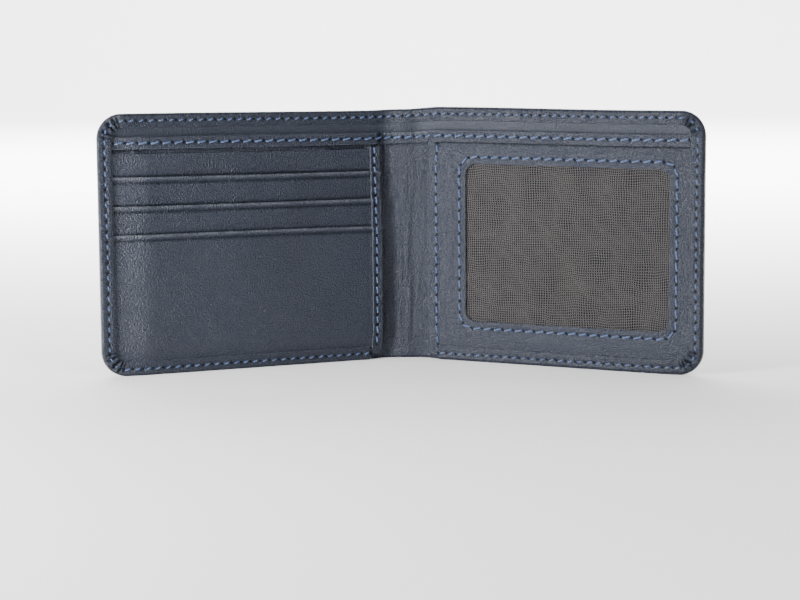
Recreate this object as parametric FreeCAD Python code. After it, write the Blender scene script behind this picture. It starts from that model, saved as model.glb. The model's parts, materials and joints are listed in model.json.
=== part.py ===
"""Two-panel billfold wallet, standing on its bottom edges and half open, like a book.

The wallet has three rigid bodies: a narrow spine and a panel on each side of it. Each panel
hangs on an upright fold line, and both fold lines lie in the middle of the cover leather.

Row frame: +Z up, the pockets face -Y, and the origin is the middle of the bounding box's floor.
Panel frame, used by every piece of a panel: u runs from the fold line to the free edge,
v runs from the middle of the cover leather towards the pockets, and z runs up.
All sizes are in millimetres.
"""

import FreeCAD
import Part
import math
import os

from FreeCAD import Vector

# Driving dimensions
HEIGHT = 92.0            # whole wallet, bottom edge to top edge
PANEL = 109.0            # fold line to free edge
SPINE = 13.0             # between the two fold lines
OPENING = 25.0           # degrees that each panel leans forward from the spine's plane
CORNER = 9.0             # radius of the four outer corners

# Leather, lining and thread
COVER = 1.2              # cover leather
LINING = 0.3             # note compartment's lining
TURNING = 0.5            # cover leather, pared down where it is turned over
PANEL_LEATHER = 0.6      # wall of the note compartment
POCKET_LEATHER = 0.5     # card pockets
FRAME_LEATHER = 0.7      # window frame
NET = 0.35               # woven net behind the window
THREAD = 0.6             # thread's width
STITCH_RISE = 0.4        # how far a stitch stands out of the leather
STITCH_PITCH = 3.5       # from one stitch to the next
STITCH_LENGTH = 2.8      # foot of one stitch
STITCH_TAPER = 0.4       # how much shorter a stitch is at its top, at each end
NOTE_GAP = 0.8           # note compartment, empty
CARD_GAP = 0.1           # empty card pocket
FRAME_GAP = 1.0          # empty window pocket, with the net in it

# Heights
POCKET_TOPS = (69.9, 59.7, 49.6)     # mouths of the three card pockets, back to front
WALL_TOP = HEIGHT - 8.0              # top edge of the note compartment's wall
WALL_HEM = 4.4                       # hem turned over that edge
COVER_HEM = 4.6                      # turning along the cover's top edge
SIDE_HEM = 5.0                       # turning along the free and bottom edges
SPINE_LIFT = 0.8                     # the spine's bottom edge stands this far off the floor

# Distances from the fold line
CLEAR = 0.7              # cover leather is cut back this far from a fold line
LINING_CLEAR = 1.2       # lining, and the turnings on the spine
TURN_CLEAR = 1.9         # turnings and compartment wall on the panels
WALL_CLEAR = 3.4         # compartment wall on the spine
STACK_EDGE = 3.4         # mouth edge of the card pocket stack
STACK_HEM = 4.2          # strip turned over that edge
WINDOW_MOUTH = 4.7       # mouth edge of the window pocket
MOUTH_HEM = 7.6          # strip turned under that edge
BOTTOM_SEAM_START = 7.5  # the bottom turning covers the pockets from here outwards
RIM = 0.9                # wall of the turning along the outer edges
RIM_CLEAR = 0.1          # from that wall to the layers inside it

# Window, in the panel frame
WINDOW_U = (19.7, 97.0)
WINDOW_Z = (15.0, 71.8)
WINDOW_CORNER = 4.0
NET_MARGIN = 3.6         # net laps this far behind the window frame

# Seams
EDGE_SEAM = 2.5          # perimeter seam, in from the edge
WALL_SEAM = 2.2          # below the compartment wall's top edge
STACK_SEAM = 2.5         # in from the stack's mouth edge
MOUTH_SEAM = 3.3         # in from the window pocket's mouth edge
WINDOW_SEAM = 2.5        # out from the window's edge

# Depths, from the middle of the cover leather towards the pockets
V_COVER = COVER / 2
V_LINING = V_COVER + LINING
V_WALL = V_LINING + NOTE_GAP
V_WALL_FRONT = V_WALL + PANEL_LEATHER
V_HEM_FRONT = V_WALL_FRONT + TURNING
V_BASE = V_WALL_FRONT + CARD_GAP
V_BASE_FRONT = V_BASE + POCKET_LEATHER
POCKET_STEP = CARD_GAP + POCKET_LEATHER
V_POCKETS = [V_BASE_FRONT + CARD_GAP + i * POCKET_STEP for i in range(len(POCKET_TOPS))]
V_STACK = V_POCKETS[-1] + POCKET_LEATHER
V_FRAME = V_WALL_FRONT + FRAME_GAP
V_FRAME_FRONT = V_FRAME + FRAME_LEATHER
BASE_TOP = WALL_TOP - WALL_HEM - 0.1     # pockets end just below the compartment wall's hem

# The bounding box reaches from the spine's outer stitches to the card panel's free edge
LEAN = math.radians(OPENING)
V_FRONT = V_STACK + TURNING
SPINE_Y = (PANEL * math.sin(LEAN) + V_FRONT * math.cos(LEAN) - V_COVER - STITCH_RISE) / 2

# Each body: sign of local x for +u, place of its fold line, turn about Z
BODIES = {
    "card": (1, Vector(-SPINE / 2, SPINE_Y, 0), 180 + OPENING),
    "window": (-1, Vector(SPINE / 2, SPINE_Y, 0), 180 - OPENING),
    "spine": (1, Vector(0, SPINE_Y, 0), 180),
}


def place(body, shape):
    """Moves a shape from its body's own frame to the row frame."""
    _, origin, angle = BODIES[body]
    moved = shape.copy()
    turn = FreeCAD.Placement(origin, FreeCAD.Rotation(Vector(0, 0, 1), angle))
    moved.Placement = turn.multiply(shape.Placement)
    return moved


def slab(body, u, v, z):
    """A box between two values of each of u, v and z."""
    sign = BODIES[body][0]
    low_x = min(sign * u[0], sign * u[1])
    return Part.makeBox(u[1] - u[0], v[1] - v[0], z[1] - z[0], Vector(low_x, v[0], z[0]))


def rounded(body, u, v, z, outer_radius, inner_radius=0.0):
    """A plate whose two corners away from the fold line are rounded, and the others if asked."""
    sign = BODIES[body][0]
    corners = [
        (u[0], z[0], inner_radius, 180),
        (u[1], z[0], outer_radius, 270),
        (u[1], z[1], outer_radius, 0),
        (u[0], z[1], inner_radius, 90),
    ]
    middle_u, middle_z = (u[0] + u[1]) / 2, (z[0] + z[1]) / 2
    runs = []
    for corner_u, corner_z, radius, start in corners:
        centre_u = corner_u + math.copysign(radius, middle_u - corner_u)
        centre_z = corner_z + math.copysign(radius, middle_z - corner_z)
        turn = [math.radians(start + step) for step in (0, 45, 90)]
        runs.append([
            Vector(sign * (centre_u + radius * math.cos(a)), v[0], centre_z + radius * math.sin(a))
            for a in turn
        ])
    edges = []
    for i, run in enumerate(runs):
        if corners[i][2] > 0:
            edges.append(Part.Arc(*run).toShape())
        edges.append(Part.LineSegment(run[2], runs[(i + 1) % 4][0]).toShape())
    face = Part.Face(Part.Wire(edges))
    return face.extrude(Vector(0, v[1] - v[0], 0))


def ring(body, inset, v):
    """The band along a panel's free, bottom and top edges, this wide."""
    outside = rounded(body, (-1, PANEL), v, (0, HEIGHT), CORNER)
    inner_radius = max(CORNER - inset, 1.0)
    inside = rounded(body, (-2, PANEL - inset), v, (inset, HEIGHT - inset), inner_radius)
    return outside.cut(inside)


def united(shapes):
    """One clean solid from pieces that share faces."""
    whole = shapes[0]
    for shape in shapes[1:]:
        whole = whole.fuse(shape)
    return whole.removeSplitter()


# Height ranges of each panel's pocket layers, with the depth of the layer that shows there
def card_levels():
    """(bottom, top, depth) of what the card panel's side turning lies on."""
    tops = list(reversed(POCKET_TOPS))
    depths = [v + POCKET_LEATHER for v in reversed(V_POCKETS)]
    levels, low = [], 0.0
    for top, depth in zip(tops, depths):
        levels.append((low, top, depth))
        low = top
    return levels + [
        (low, BASE_TOP, V_BASE_FRONT),
        (BASE_TOP, WALL_TOP, V_HEM_FRONT),
        (WALL_TOP, HEIGHT, V_LINING),
    ]


def window_levels():
    """(bottom, top, depth) of what the window panel's side turning lies on."""
    return [
        (0.0, BASE_TOP, V_FRAME_FRONT),
        (BASE_TOP, WALL_TOP, V_HEM_FRONT),
        (WALL_TOP, HEIGHT, V_LINING),
    ]


LEVELS = {"card": card_levels(), "window": window_levels()}


def side_depth(body, z_low, z_high):
    """Depth of the side turning's face over a height range, at its deepest."""
    return max(v for low, high, v in LEVELS[body] if low < z_high and high > z_low) + TURNING


# Cover
def cover_panel(body):
    return rounded(body, (CLEAR, PANEL), (-V_COVER, V_COVER), (0, HEIGHT), CORNER)


def cover_spine():
    half = SPINE / 2 - CLEAR
    return slab("spine", (-half, half), (-V_COVER, V_COVER), (SPINE_LIFT, HEIGHT))


def lining_panel(body):
    inset = RIM + RIM_CLEAR
    return rounded(body, (LINING_CLEAR, PANEL - inset), (V_COVER, V_LINING),
                   (inset, HEIGHT - inset), CORNER - inset)


def lining_spine():
    half = SPINE / 2 - LINING_CLEAR
    inset = RIM + RIM_CLEAR
    return slab("spine", (-half, half), (V_COVER, V_LINING),
                (SPINE_LIFT + inset, HEIGHT - inset))


def side_turning(body):
    """Turning along the free edge, over the ends of the pockets, with both corners."""
    pieces = []
    for low, high, depth in LEVELS[body]:
        region = slab(body, (PANEL - CORNER, PANEL + 1), (-1, 20), (low, high))
        pieces.append(ring(body, RIM, (V_COVER, depth + TURNING)).common(region))
        pieces.append(ring(body, SIDE_HEM, (depth, depth + TURNING)).common(region))
    return united(pieces)


def bottom_turning(body):
    """Turning along the bottom edge: thin beside the fold, then over the pockets."""
    depth = LEVELS[body][0][2]
    outer = PANEL - CORNER
    thin = (V_LINING, V_LINING + TURNING)
    return united([
        slab(body, (TURN_CLEAR, outer), (V_COVER, V_LINING + TURNING), (0, RIM)),
        slab(body, (TURN_CLEAR, BOTTOM_SEAM_START), thin, (RIM, SIDE_HEM)),
        slab(body, (BOTTOM_SEAM_START, outer), (V_LINING, depth + TURNING), (0, RIM)),
        slab(body, (BOTTOM_SEAM_START, outer), (depth, depth + TURNING), (RIM, SIDE_HEM)),
    ])


def top_turning(body, u):
    """Turning along the cover's top edge, inside the note compartment's mouth."""
    return united([
        slab(body, u, (V_COVER, V_LINING + TURNING), (HEIGHT - RIM, HEIGHT)),
        slab(body, u, (V_LINING, V_LINING + TURNING), (HEIGHT - COVER_HEM, HEIGHT - RIM)),
    ])


def spine_bottom_turning():
    half = SPINE / 2 - LINING_CLEAR
    front = V_LINING + TURNING
    low = SPINE_LIFT
    return united([
        slab("spine", (-half, half), (V_COVER, front), (low, low + RIM)),
        slab("spine", (-half, half), (V_LINING, front), (low + RIM, low + SIDE_HEM)),
    ])


# Note compartment's wall
def wall_panel(body):
    inset = RIM + RIM_CLEAR
    whole = rounded(body, (TURN_CLEAR, PANEL - inset), (V_WALL, V_WALL_FRONT),
                    (inset, HEIGHT - inset), CORNER - inset)
    return whole.common(slab(body, (0, PANEL), (0, 20), (0, WALL_TOP)))


def wall_hem(body):
    """Hem turned over the compartment wall's top edge, across the panel."""
    inset = RIM + RIM_CLEAR
    return slab(body, (TURN_CLEAR, PANEL - inset), (V_WALL_FRONT, V_HEM_FRONT),
                (WALL_TOP - WALL_HEM, WALL_TOP))


def wall_spine(half):
    return slab("spine", (-half, half), (V_WALL, V_WALL_FRONT), (SPINE_LIFT + RIM, WALL_TOP))


def wall_hem_spine(half):
    return slab("spine", (-half, half), (V_WALL_FRONT, V_HEM_FRONT),
                (WALL_TOP - WALL_HEM, WALL_TOP))


# Card pockets
def pocket_layer(depth, top, start):
    """One sheet of the card pocket stack, from the bottom edge up to its mouth."""
    inset = RIM + RIM_CLEAR
    whole = rounded("card", (start, PANEL - inset), (depth, depth + POCKET_LEATHER),
                    (inset, HEIGHT - inset), CORNER - inset)
    return whole.common(slab("card", (0, PANEL), (0, 20), (0, top)))


def stack_turning():
    """Strip turned over the stack's mouth edge, lying over the pockets' ends."""
    wall = (STACK_EDGE, STACK_EDGE + TURNING)
    strip = (STACK_EDGE, STACK_EDGE + STACK_HEM)
    pieces = []
    for low, high, depth in LEVELS["card"][:-2]:
        low = max(low, SIDE_HEM + RIM_CLEAR)
        pieces.append(slab("card", wall, (V_BASE, depth + TURNING), (low, high)))
        pieces.append(slab("card", strip, (depth, depth + TURNING), (low, high)))
    return united(pieces)


# Window pocket
def window_frame():
    inset = RIM + RIM_CLEAR
    depths = (V_FRAME, V_FRAME_FRONT)
    whole = rounded("window", (WINDOW_MOUTH, PANEL - inset), depths,
                    (inset, HEIGHT - inset), CORNER - inset)
    whole = whole.common(slab("window", (0, PANEL), (0, 20), (0, BASE_TOP)))
    return whole.cut(rounded("window", WINDOW_U, depths, WINDOW_Z, WINDOW_CORNER, WINDOW_CORNER))


def window_net():
    u = (WINDOW_U[0] - NET_MARGIN, WINDOW_U[1] + NET_MARGIN)
    z = (WINDOW_Z[0] - NET_MARGIN, WINDOW_Z[1] + NET_MARGIN)
    return slab("window", u, (V_FRAME - NET, V_FRAME), z)


def mouth_turning():
    """Strip turned under the window pocket's mouth edge."""
    u = (WINDOW_MOUTH, WINDOW_MOUTH + MOUTH_HEM)
    return slab("window", u, (V_FRAME - TURNING, V_FRAME), (SIDE_HEM + 1, BASE_TOP))


# Stitching
def stitch(body, u, z, angle, depth, outwards=False):
    """One flat-topped stitch on a face at that depth. The angle is from +u towards +z."""
    sign = BODIES[body][0]
    foot, top = STITCH_LENGTH / 2, STITCH_LENGTH / 2 - STITCH_TAPER
    rise = -STITCH_RISE if outwards else STITCH_RISE
    half = THREAD / 2
    profile = [(-foot, 0), (foot, 0), (top, rise), (-top, rise)]
    points = [Vector(x, y, -half) for x, y in profile]
    shape = Part.Face(Part.makePolygon(points + points[:1])).extrude(Vector(0, 0, THREAD))
    shape.rotate(Vector(0, 0, 0), Vector(0, 1, 0), -sign * angle)
    shape.translate(Vector(sign * u, depth, z))
    return shape


def edge_path(inset, start_top, start_bottom):
    """Points and directions along a panel's seam, from the top by the fold round to the bottom."""
    radius = CORNER - inset
    top, low, side = HEIGHT - inset, inset, PANEL - inset
    straight = side - radius - start_top
    quarter = radius * math.pi / 2
    upright = top - low - 2 * radius
    back = side - radius - start_bottom

    def at(s):
        if s < straight:
            return start_top + s, top, 0
        s -= straight
        if s < quarter:
            a = math.pi / 2 - s / radius
            return side - radius + radius * math.cos(a), top - radius + radius * math.sin(a), \
                math.degrees(a) - 90
        s -= quarter
        if s < upright:
            return side, top - radius - s, -90
        s -= upright
        if s < quarter:
            a = -s / radius
            return side - radius + radius * math.cos(a), low + radius + radius * math.sin(a), \
                math.degrees(a) - 90
        return side - radius - (s - quarter), low, 180

    return at, straight + 2 * quarter + upright + back


def rows(length):
    """Distances of the stitches' middles along a seam, evenly spaced."""
    count = int(length // STITCH_PITCH)
    pitch = length / count
    return [(i + 0.5) * pitch for i in range(count)]


def seam_face(body, u, z):
    """Depth of the face that the inner perimeter seam lies on at a point."""
    if z > HEIGHT - COVER_HEM and u < PANEL - CORNER:
        return V_LINING + TURNING
    if z < SIDE_HEM and u < PANEL - CORNER:
        return LEVELS[body][0][2] + TURNING
    reach = STITCH_LENGTH / 2
    return side_depth(body, z - reach, z + reach)


def perimeter_stitching(body):
    """Both faces of the seam that holds a panel's edges together."""
    inner_at, inner_length = edge_path(EDGE_SEAM, TURN_CLEAR, BOTTOM_SEAM_START)
    stitches = []
    for s in rows(inner_length):
        u, z, angle = inner_at(s)
        stitches.append(stitch(body, u, z, angle, seam_face(body, u, z)))
        stitches.append(stitch(body, u, z, angle, -V_COVER, outwards=True))
    return stitches


def spine_stitching():
    """Both faces of the cover's top seam on the spine."""
    half = SPINE / 2 - LINING_CLEAR
    z = HEIGHT - EDGE_SEAM
    stitches = []
    for s in rows(2 * half):
        stitches.append(stitch("spine", s - half, z, 0, V_LINING + TURNING))
        stitches.append(stitch("spine", s - half, z, 0, -V_COVER, outwards=True))
    return stitches


def straight_stitching(body, start, end, depth_at):
    """Stitches along a straight line from one (u, z) to another."""
    length = math.dist(start, end)
    angle = math.degrees(math.atan2(end[1] - start[1], end[0] - start[0]))
    stitches = []
    for s in rows(length):
        u = start[0] + (end[0] - start[0]) * s / length
        z = start[1] + (end[1] - start[1]) * s / length
        stitches.append(stitch(body, u, z, angle, depth_at(z)))
    return stitches


def wall_stitching(body, u):
    """Seam along the compartment wall's hem."""
    z = WALL_TOP - WALL_SEAM
    return straight_stitching(body, (u[0], z), (u[1], z), lambda _: V_HEM_FRONT)


def stack_stitching():
    """Seam along the stack's turned mouth edge."""
    u = STACK_EDGE + STACK_SEAM
    reach = STITCH_LENGTH / 2
    return straight_stitching("card", (u, BASE_TOP - 0.5), (u, SIDE_HEM + 0.5),
                              lambda z: side_depth("card", z - reach, min(z + reach, BASE_TOP)))


def mouth_stitching():
    """Seam along the window pocket's mouth edge."""
    u = WINDOW_MOUTH + MOUTH_SEAM
    return straight_stitching("window", (u, BASE_TOP - 0.5), (u, SIDE_HEM + 0.5),
                              lambda _: V_FRAME_FRONT)


def window_stitching():
    """Seam round the window, with each corner cut by one slanting stitch."""
    low_u, high_u = WINDOW_U[0] - WINDOW_SEAM, WINDOW_U[1] + WINDOW_SEAM
    low_z, high_z = WINDOW_Z[0] - WINDOW_SEAM, WINDOW_Z[1] + WINDOW_SEAM
    cut = STITCH_PITCH * 0.75
    ring_points = [
        (low_u + cut, high_z), (high_u - cut, high_z), (high_u, high_z - cut),
        (high_u, low_z + cut), (high_u - cut, low_z), (low_u + cut, low_z),
        (low_u, low_z + cut), (low_u, high_z - cut),
    ]
    stitches = []
    for i, start in enumerate(ring_points):
        end = ring_points[(i + 1) % len(ring_points)]
        stitches += straight_stitching("window", start, end, lambda _: V_FRAME_FRONT)
    return stitches


def build():
    """{node: (body, shape or list of stitches)} for the whole wallet."""
    edge = PANEL - CORNER
    turn_half = SPINE / 2 - LINING_CLEAR
    wall_half = SPINE / 2 - WALL_CLEAR
    nodes = {
        "cover_spine": ("spine", cover_spine()),
        "lining_spine": ("spine", lining_spine()),
        "top_turning_spine": ("spine", top_turning("spine", (-turn_half, turn_half))),
        "bottom_turning_spine": ("spine", spine_bottom_turning()),
        "note_wall_spine": ("spine", wall_spine(wall_half)),
        "note_wall_hem_spine": ("spine", wall_hem_spine(wall_half)),
        "perimeter_stitching_spine": ("spine", spine_stitching()),
        "note_wall_stitching_spine": ("spine", wall_stitching("spine", (-wall_half, wall_half))),
        "card_pocket_backing": ("card", pocket_layer(V_BASE, BASE_TOP, STACK_EDGE + TURNING + 0.05)),
        "card_stack_turning": ("card", stack_turning()),
        "card_stack_stitching": ("card", stack_stitching()),
        "window_frame": ("window", window_frame()),
        "window_net": ("window", window_net()),
        "window_mouth_turning": ("window", mouth_turning()),
        "window_mouth_stitching": ("window", mouth_stitching()),
        "window_stitching": ("window", window_stitching()),
    }
    for i, (top, depth) in enumerate(zip(POCKET_TOPS, V_POCKETS), 1):
        layer = pocket_layer(depth, top, STACK_EDGE + TURNING + 0.05)
        nodes[f"card_pocket_{i}"] = ("card", layer)
    seam_u = (TURN_CLEAR + STITCH_PITCH, PANEL - SIDE_HEM - STITCH_TAPER)
    for body in ("card", "window"):
        side = f"{body}_side"
        nodes[f"cover_{side}"] = (body, cover_panel(body))
        nodes[f"lining_{side}"] = (body, lining_panel(body))
        nodes[f"side_turning_{side}"] = (body, side_turning(body))
        nodes[f"bottom_turning_{side}"] = (body, bottom_turning(body))
        nodes[f"top_turning_{side}"] = (body, top_turning(body, (TURN_CLEAR, edge)))
        nodes[f"note_wall_{side}"] = (body, wall_panel(body))
        nodes[f"note_wall_hem_{side}"] = (body, wall_hem(body))
        nodes[f"perimeter_stitching_{side}"] = (body, perimeter_stitching(body))
        nodes[f"note_wall_stitching_{side}"] = (body, wall_stitching(body, seam_u))
    return nodes


def main():
    os.makedirs("parts", exist_ok=True)
    bounds = FreeCAD.BoundBox()
    for name, (body, made) in sorted(build().items()):
        if isinstance(made, list):
            shape = Part.makeCompound([place(body, one) for one in made])
        else:
            shape = place(body, made)
        if not shape.isValid() or any(not solid.isClosed() for solid in shape.Solids):
            raise ValueError(f"{name} is not a valid closed solid")
        shape.exportStep(f"parts/{name}.step")
        bounds.add(shape.BoundBox)
        print(f"{name}: {len(shape.Solids)} solids, {shape.Volume:.1f} mm3")
    print("bounding box", bounds)
    print("fold lines", BODIES["card"][1], BODIES["window"][1])


main()
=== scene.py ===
"""Bifold wallet in navy leather, half open and standing on its bottom edges.

Leather sheets are laid out flat in millimetres and then folded. On the flat pattern, x runs from
the middle of the spine towards a free edge, z runs up, and depth runs from the middle of the cover
leather towards the pockets. The two halves of the wallet are mirror images in this frame.
Sheets that cross a fold are bent there and blended between the spine and their panel.
"""

import json
import math

import bpy
import numpy as np
from mathutils import Matrix, Vector


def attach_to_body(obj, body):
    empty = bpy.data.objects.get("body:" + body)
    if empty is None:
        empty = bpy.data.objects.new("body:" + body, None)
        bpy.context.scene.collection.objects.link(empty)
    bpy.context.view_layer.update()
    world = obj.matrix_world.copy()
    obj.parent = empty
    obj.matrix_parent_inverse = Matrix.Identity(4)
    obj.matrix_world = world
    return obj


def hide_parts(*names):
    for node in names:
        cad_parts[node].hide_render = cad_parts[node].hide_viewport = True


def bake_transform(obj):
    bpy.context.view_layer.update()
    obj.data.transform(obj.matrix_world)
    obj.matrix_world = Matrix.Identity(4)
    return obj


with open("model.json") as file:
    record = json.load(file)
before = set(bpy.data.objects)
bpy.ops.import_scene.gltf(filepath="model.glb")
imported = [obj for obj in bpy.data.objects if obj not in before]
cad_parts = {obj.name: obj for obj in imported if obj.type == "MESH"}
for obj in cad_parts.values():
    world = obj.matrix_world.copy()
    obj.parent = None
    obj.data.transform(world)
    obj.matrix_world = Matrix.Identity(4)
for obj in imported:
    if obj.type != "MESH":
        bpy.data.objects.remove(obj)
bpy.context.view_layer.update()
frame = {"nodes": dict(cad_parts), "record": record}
MM = 0.001

# Frame: the fold lines and how far each panel leans forward at rest
JOINTS = {joint["name"]: joint for joint in frame["record"]["behaviour"]["joints"]}
SIDES = {
    "card": {"sign": -1, "body": "card_side"},
    "window": {"sign": 1, "body": "window_side"},
}
OPENING = math.radians(-JOINTS["window_fold"]["range_deg"][0])
HALF_SPINE = JOINTS["window_fold"]["pos_m"][0] / MM
SPINE_Y = JOINTS["window_fold"]["pos_m"][1] / MM


def flat_points(node, side):
    """The vertices of a CAD node as (x, depth, z) on the flat pattern, in millimetres."""
    points = np.array([v.co for v in frame["nodes"][node].data.vertices]) / MM
    out = SIDES[side]["sign"] * points[:, 0] - HALF_SPINE
    inward = SPINE_Y - points[:, 1]
    x = HALF_SPINE + out * math.cos(OPENING) + inward * math.sin(OPENING)
    depth = inward * math.cos(OPENING) - out * math.sin(OPENING)
    return np.column_stack([x, depth, points[:, 2]])


def extent(node, side):
    """Lowest and highest (x, depth, z) of a CAD node on the flat pattern."""
    flat = flat_points(node, side)
    return flat.min(axis=0), flat.max(axis=0)


def find_window():
    """The window's box (x, z, x, z) on the flat pattern, from the frame's points well inside the net."""
    margin = 0.5
    points = flat_points("window_frame", "window")[:, [0, 2]]
    inside = ((points > NET_LOW[[0, 2]] + margin) & (points < NET_HIGH[[0, 2]] - margin)).all(axis=1)
    return (*points[inside].min(axis=0), *points[inside].max(axis=0))


# Sizes read from the frame
COVER_HIGH = extent("cover_window_side", "window")[1]
WALL_LOW, WALL_HIGH = extent("note_wall_window_side", "window")
BACKING_LOW, BACKING_HIGH = extent("card_pocket_backing", "card")
FRAME_LOW, FRAME_HIGH = extent("window_frame", "window")
NET_LOW, NET_HIGH = extent("window_net", "window")
STRIP_LOW, STRIP_HIGH = extent("card_stack_turning", "card")
POCKETS = [extent(f"card_pocket_{i}", "card") for i in (1, 2, 3)]
WINDOW = find_window()
EDGE = COVER_HIGH[0]
HEIGHT = COVER_HIGH[2]
COVER_FACE = COVER_HIGH[1]
LINING_FACE = extent("lining_window_side", "window")[1][1]
WALL_TOP = WALL_HIGH[2]
WALL_FACE = WALL_HIGH[1]
HEM_BOTTOM = extent("note_wall_hem_window_side", "window")[0][2]
TURNED = extent("note_wall_hem_window_side", "window")[1][1] - WALL_FACE

# Sizes of the leather work that the CAD model leaves plain
CORNER = 9.0             # radius of the outer corners
ROUND = 1.0              # rounding of the turned edges
HEM = 4.8                # width of the turned edge
INNER_INSET = 1.4        # inner sheets end this far in from the outer edges
INNER_LIMIT = 1.5        # and no corner of theirs comes nearer to the outline than this
HEM_CROWN = 0.12         # how much the wall's hem bulges
HEM_STEP = 0.75          # how much the wall's hem steps up where it lies over the pockets
BAND = 9.0               # width of the finely spaced grid beside a fold line
FOLD_REACH = 6.0         # leather bends this far to each side of a fold line
GRID = 0.5               # finest spacing of the sheets' grids
WINDOW_RADIUS = 4.0      # corners of the window
FRAME_THICKNESS = FRAME_HIGH[1] - FRAME_LOW[1]
NET_PITCH = 0.82         # of the woven net
YARN_WIDTH = 0.155       # radii of the oval that a yarn's four corners lie on
YARN_HEIGHT = 0.10

# Seams and thread
SEAM_INSET = 2.5         # seams, in from an edge
EDGE_PITCH = 3.6         # from hole to hole, for the seams at the edges and mouths
WALL_PITCH = 4.3
WINDOW_PITCH = 4.1
WALL_SEAM_DROP = 2.2     # below the wall's top edge
STACK_SEAM_X = 5.9       # from the fold line to the stack's seam
MOUTH_SEAM_X = 8.0       # from the fold line to the window pocket's seam
SEAM_FOOT = HEM + 1.0    # height at which those two end
SEAM_TURN = 4.8          # radius of the window seam at its corners
SEAM_GROOVE = (0.2, 0.3)             # depths of a seam's groove and of the pits at its holes
FRAME_SEAM_GROOVE = (0.18, 0.28)
OUTSIDE_SEAM_GROOVE = (0.16, 0.26)
SLANT = 0.38             # each stitch end's distance from the seam's line
THREAD = 0.19            # radius of one ply
PLY_SWING = 0.8 * THREAD             # how far each ply winds about the stitch's middle
PLY_TURN = 2.5 * math.pi             # how far the plies wind along one stitch
HOLE_HALF = (0.72, 0.38)             # half the length and width of a needle hole


def smooth(t):
    """Smooth step from 0 at t = 0 to 1 at t = 1."""
    t = np.clip(t, 0, 1)
    return t * t * (3 - 2 * t)


def spaced(*runs):
    """Grid lines from runs of (start, end, spacing)."""
    parts = [np.linspace(a, b, max(int(np.ceil(abs(b - a) / step)), 1) + 1) for a, b, step in runs]
    return np.unique(np.concatenate(parts).round(4))


def waves(x, z, size, seed):
    """Soft irregular relief between about -1 and 1, with swells of roughly this size."""
    source = np.random.default_rng(seed)
    total = np.zeros(np.broadcast(x, z).shape)
    for _ in range(5):
        angle, phase = source.uniform(0, 2 * math.pi, 2)
        k = 2 * math.pi / (size * source.uniform(0.7, 1.5))
        total = total + np.sin(k * (x * math.cos(angle) + z * math.sin(angle)) + phase)
    return total / 3


def pressed(x, depth, z):
    """Depth of the inner layers where they are pared and pressed thin, by the free and bottom edges."""
    side = 1 - 0.62 * smooth((x - EDGE + 18) / 13)
    foot = 1 - 0.45 * smooth((12 - z) / 10)
    above = depth - LINING_FACE
    return np.where(above > 0, LINING_FACE + above * side * foot, depth)


def confined(x, z, inset):
    """Moves points that lie outside a panel's outline, at an inset, on to it."""
    centre_x, centre_z = np.minimum(x, EDGE - CORNER), np.clip(z, CORNER, HEIGHT - CORNER)
    away = np.hypot(x - centre_x, z - centre_z)
    scale = np.minimum(1, (CORNER - inset) / np.maximum(away, 1e-9))
    return centre_x + (x - centre_x) * scale, centre_z + (z - centre_z) * scale


# Folding
def stretch_up(side, x, z):
    """Small unevenness of the top edge beside the spine: the window half stands higher."""
    rise = {"card": -0.35, "window": 0.85}[side]
    return rise * smooth(x / 15) * (1 - smooth((x - 15) / 80)) * (z / HEIGHT) ** 2


def folded(side, flat, rigid=False):
    """Flat pattern (x, depth, z) in millimetres to the row frame in metres."""
    x, depth, z = np.asarray(flat, float).T
    z = z + stretch_up(side, x, z)
    out = x - HALF_SPINE
    share = 1.0 if rigid else smooth((out + FOLD_REACH) / (2 * FOLD_REACH))
    angle = share * OPENING
    forward = out * np.sin(angle) + depth * np.cos(angle)
    sideways = HALF_SPINE + out * np.cos(angle) - depth * np.sin(angle)
    return np.column_stack([SIDES[side]["sign"] * sideways, SPINE_Y - forward, z]) * MM


def attach(piece, side, rigid):
    """Rides a rigid piece on its panel; any other piece, already bent across the fold, only has its
    transform baked into its mesh.
    """
    if rigid:
        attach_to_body(piece, SIDES[side]["body"])
        return
    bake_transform(piece)


# Meshes
def grid_faces(rows, columns, flip=False):
    """Quads of a grid whose vertices are numbered row by row."""
    first = np.arange(rows - 1)[:, None] * columns + np.arange(columns - 1)[None, :]
    quads = np.stack([first, first + 1, first + columns + 1, first + columns], axis=-1).reshape(-1, 4)
    return quads[:, ::-1] if flip else quads


def tube_faces(threads, samples, ring):
    """Quads of many equal tubes, with vertices numbered by thread, then sample, then round."""
    thread = np.arange(threads)[:, None, None] * samples * ring
    along = np.arange(samples - 1)[None, :, None] * ring
    around = np.arange(ring)[None, None, :]
    a = thread + along + around
    b = thread + along + (around + 1) % ring
    return np.stack([a, b, b + ring, a + ring], axis=-1).reshape(-1, 4)


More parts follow.
